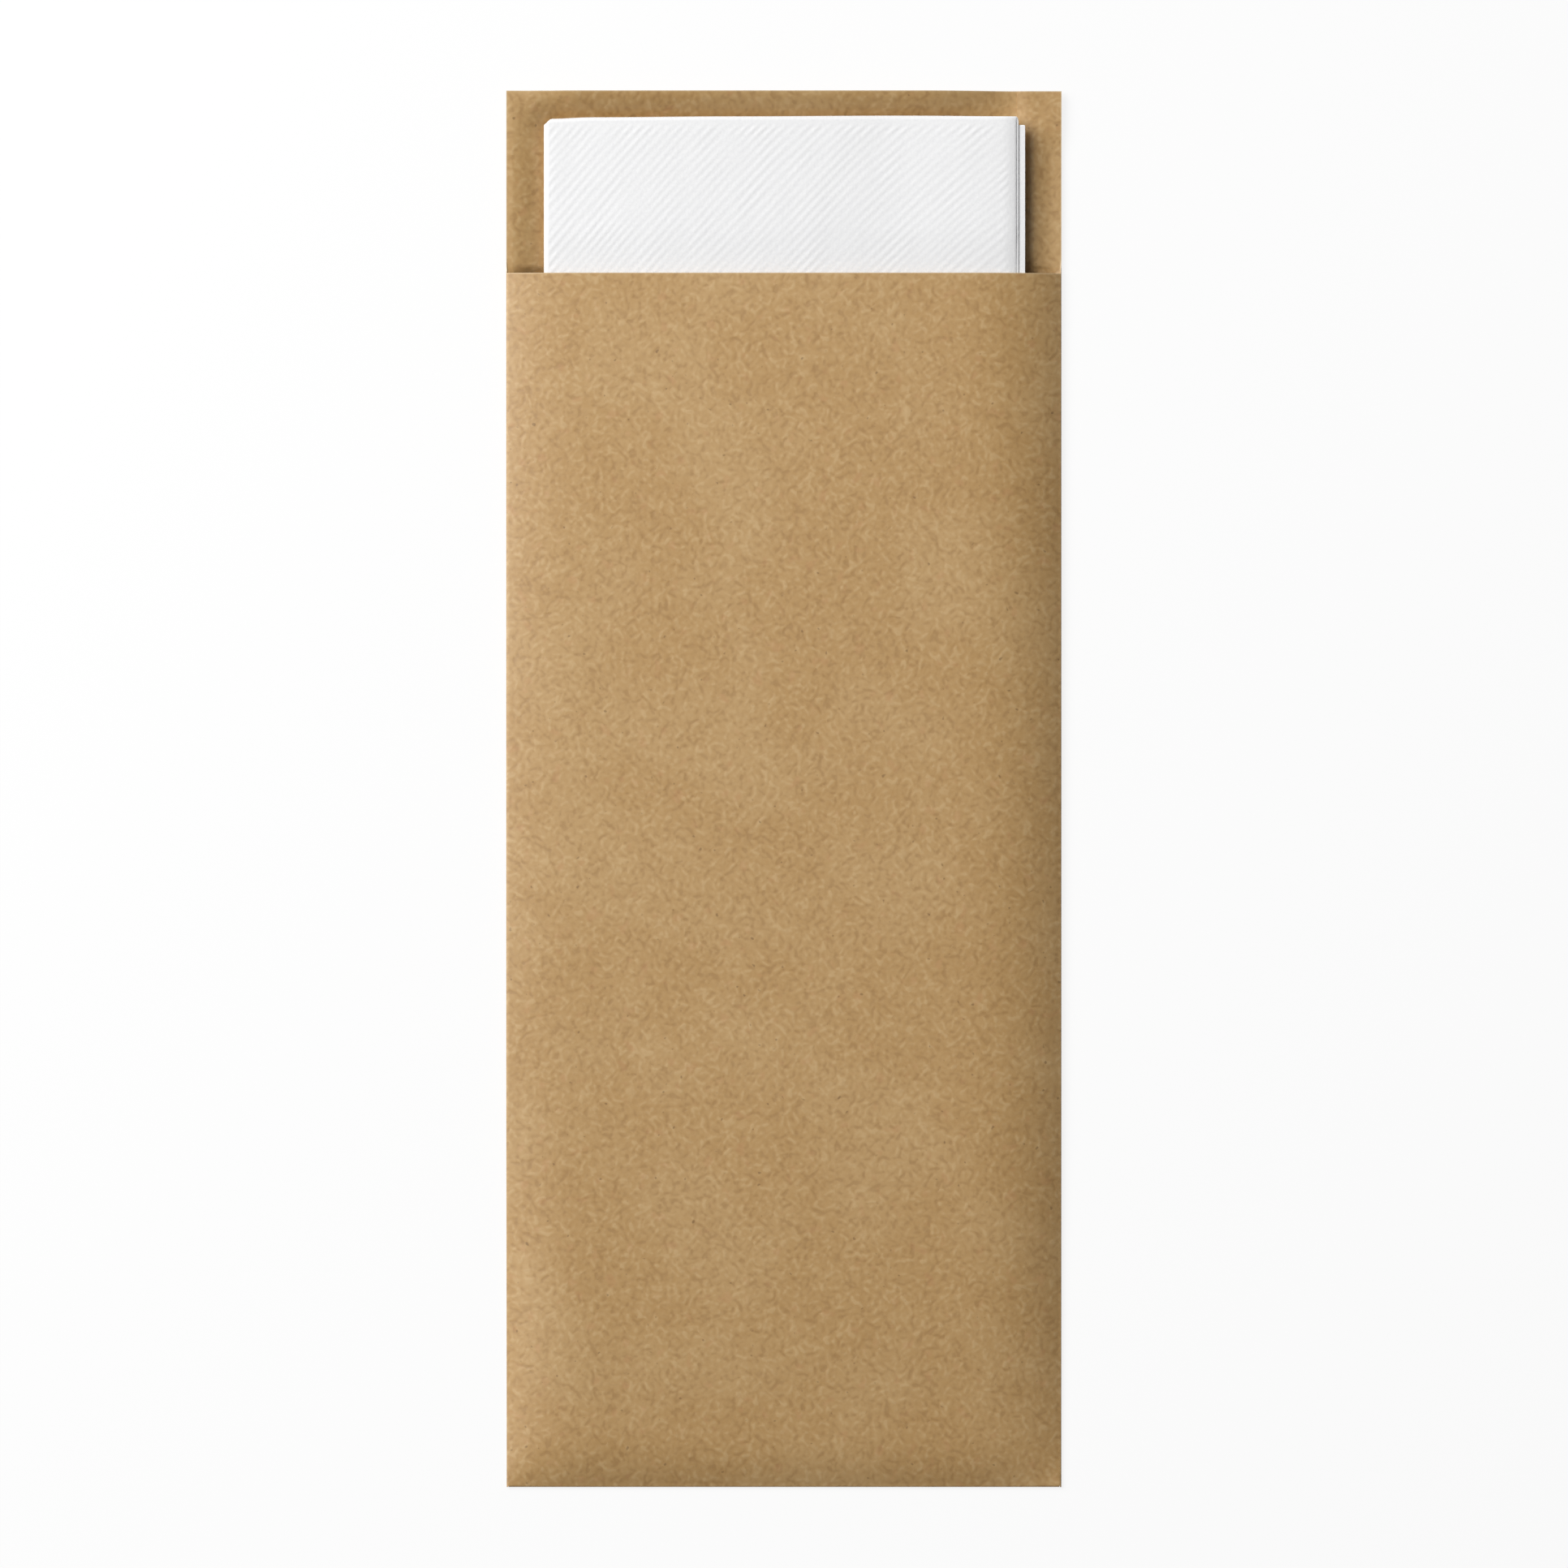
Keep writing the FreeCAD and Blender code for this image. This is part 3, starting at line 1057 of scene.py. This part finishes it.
    def emboss(self, piece: bpy.types.Object) -> None:
        """Divide the showing face finely and press the ribs into it.

        Args:
            piece: the folded sheet, without thickness.
        """
        cells = bmesh.new()
        cells.from_mesh(piece.data)
        flat = cells.verts.layers.float_vector[FLAT]
        down = (0.6, self.top - self.pouch.mouth + 1.5)  # from the top fold to inside the mouth
        across = (self.spine_x - 0.2, self.fold1_x + 0.1)
        upper = self.middle + 2.4 * self.pitch  # over this lies the front layer alone

        def shows(v: bmesh.types.BMVert) -> bool:
            """Whether a vertex is on the front layer where it shows."""
            (a, b, _), x, z = v[flat], v.co.x / MM, v.co.z / MM
            return a < 0 and down[0] < b < down[1] and across[0] < x < across[1] and z > upper

        faces = [f for f in cells.faces if all(shows(v) for v in f.verts)]
        edges = list({e for f in faces for e in f.edges})
        bmesh.ops.subdivide_edges(cells, edges=edges, cuts=self.rib_cuts, use_grid_fill=True)
        for v in cells.verts:
            if shows(v):
                x, y = v.co.x / MM, v.co.y / MM
                inside = min(x - self.left, self.front_right - x, self.top - y)
                soft = sum(part * ripple(x, y, *bumps) for part, *bumps in self.cushions)
                height = self.rib_depth * self.rib(x, y) + self.cushion * soft
                v.co.z += height * smooth(inside, *self.emboss_in) * MM
        cells.to_mesh(piece.data)
        cells.free()

    def build(self) -> bpy.types.Object:
        """Fold, emboss, thicken and dress the napkin, and put it in the frame.

        Returns:
            The finished piece.
        """
        piece = folded_sheet(
            "folded_napkin", len(self.a_list), len(self.b_list), lambda i, j: True, self.place
        )
        self.emboss(piece)
        loft = piece.vertex_groups.new(name="loft")
        for v in piece.data.vertices:
            share = 1 - self.pressed * smooth(v.co.x / MM, *self.pressed_x)
            loft.add([v.index], share, "REPLACE")
        thicken(piece, self.tissue, loft.name)
        piece.vertex_groups.clear()
        piece.data.materials.append(self.finish.build())
        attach(piece, "root")
        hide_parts("napkin")
        return piece


# ---- Floor, light and camera ----


@dataclass
class Studio:
    """A plain white table, one large soft lamp high on the upper left, and the camera above.

    Lengths are in metres, apart from those named for millimetres and those in the camera.
    """

    table_size: float = 6.0
    table_gap_mm: float = 0.02  # the table lies this far under the pouch
    table_glow: float = 0.85  # share of plain white in what the camera sees of the table
    lamp_azimuth: float = 146.0
    lamp_height: float = 42.0
    lamp_distance: float = 1.2
    lamp_size: float = 0.95
    lamp_power: float = 19.6
    ambient: float = 0.14
    field_mm: float = 268.33
    field_level_mm: float = 2.0  # height at which the picture is that wide
    lens: float = 250.0
    sensor: float = 36.0
    clip_end: float = 20.0
    centre_y_mm: float = 0.9

    def floor(self) -> None:
        """A wide pale table top that stays white to the camera and keeps the soft shadow."""
        bpy.ops.object.select_all(action="DESELECT")
        level = -self.table_gap_mm * MM
        bpy.ops.mesh.primitive_plane_add(size=self.table_size, location=(0, 0, level))
        table = bpy.context.object
        table.name = "table_top"
        material = bpy.data.materials.new("white_table")
        s = Nodes.empty(material)
        path = s.add("LightPath").outputs
        seen = s.add("Math", GREATER, i0=path["Is Camera Ray"], i1=path["Is Glossy Ray"])
        seen = s.add("Math", GREATER, i0=seen, i1=path["Is Transmission Ray"])
        share = s.add("Math", TIMES, i0=seen, i1=self.table_glow)
        matt = s.add("BsdfDiffuse", Color=linear("#F7F7F7"))
        glow = s.add("Emission", Color=linear("#FFFFFF"), Strength=1.0)
        mixed = s.add("MixShader", i0=share, i1=matt, i2=glow)
        s.add("OutputMaterial", Surface=mixed)
        table.data.materials.append(material)

    def light(self) -> None:
        """The large soft lamp and the even light of the white room."""
        az, up = math.radians(self.lamp_azimuth), math.radians(self.lamp_height)
        way = Vector((math.cos(up) * math.cos(az), math.cos(up) * math.sin(az), math.sin(up)))
        data = bpy.data.lights.new("softbox", "AREA")
        data.shape = "SQUARE"
        data.size = self.lamp_size
        data.energy = self.lamp_power
        lamp = bpy.data.objects.new("softbox", data)
        lamp.location = way * self.lamp_distance
        lamp.rotation_euler = way.to_track_quat("Z", "Y").to_euler()
        bpy.context.scene.collection.objects.link(lamp)
        world = bpy.context.scene.world or bpy.data.worlds.new("white_room")
        bpy.context.scene.world = world
        s = Nodes.empty(world)
        seen = s.add("LightPath").outputs["Is Camera Ray"]
        strength = s.add("MapRange", Value=seen, To_Min=self.ambient, To_Max=1.0)
        room = s.add("Background", Color=linear("#FFFFFF"), Strength=strength)
        s.add("OutputWorld", Surface=room)

    def camera(self) -> None:
        """The camera, straight above, with the pouch's mouth at the top of the picture."""
        data = bpy.data.cameras.new("camera")
        data.lens = self.lens
        data.sensor_width = self.sensor
        data.clip_end = self.clip_end
        eye = bpy.data.objects.new("camera", data)
        away = self.field_mm * MM * self.lens / self.sensor
        eye.location = (0.0, self.centre_y_mm * MM, away + self.field_level_mm * MM)
        bpy.context.scene.collection.objects.link(eye)
        bpy.context.scene.camera = eye

    def build(self) -> None:
        """Set up the floor, the light and the camera."""
        self.floor()
        self.light()
        self.camera()
        bpy.context.scene.view_settings.view_transform = "Standard"


def main() -> None:
    """Build the pouch and the napkin, then the studio."""
    logging.basicConfig(level=logging.INFO, format="%(name)s: %(message)s")
    pouch = Pouch()
    for piece in (pouch.build(), Napkin(pouch).build()):
        LOG.info("%s: %d faces", piece.name, len(piece.data.polygons))
    Studio().build()


if __name__ == "__main__":
    main()
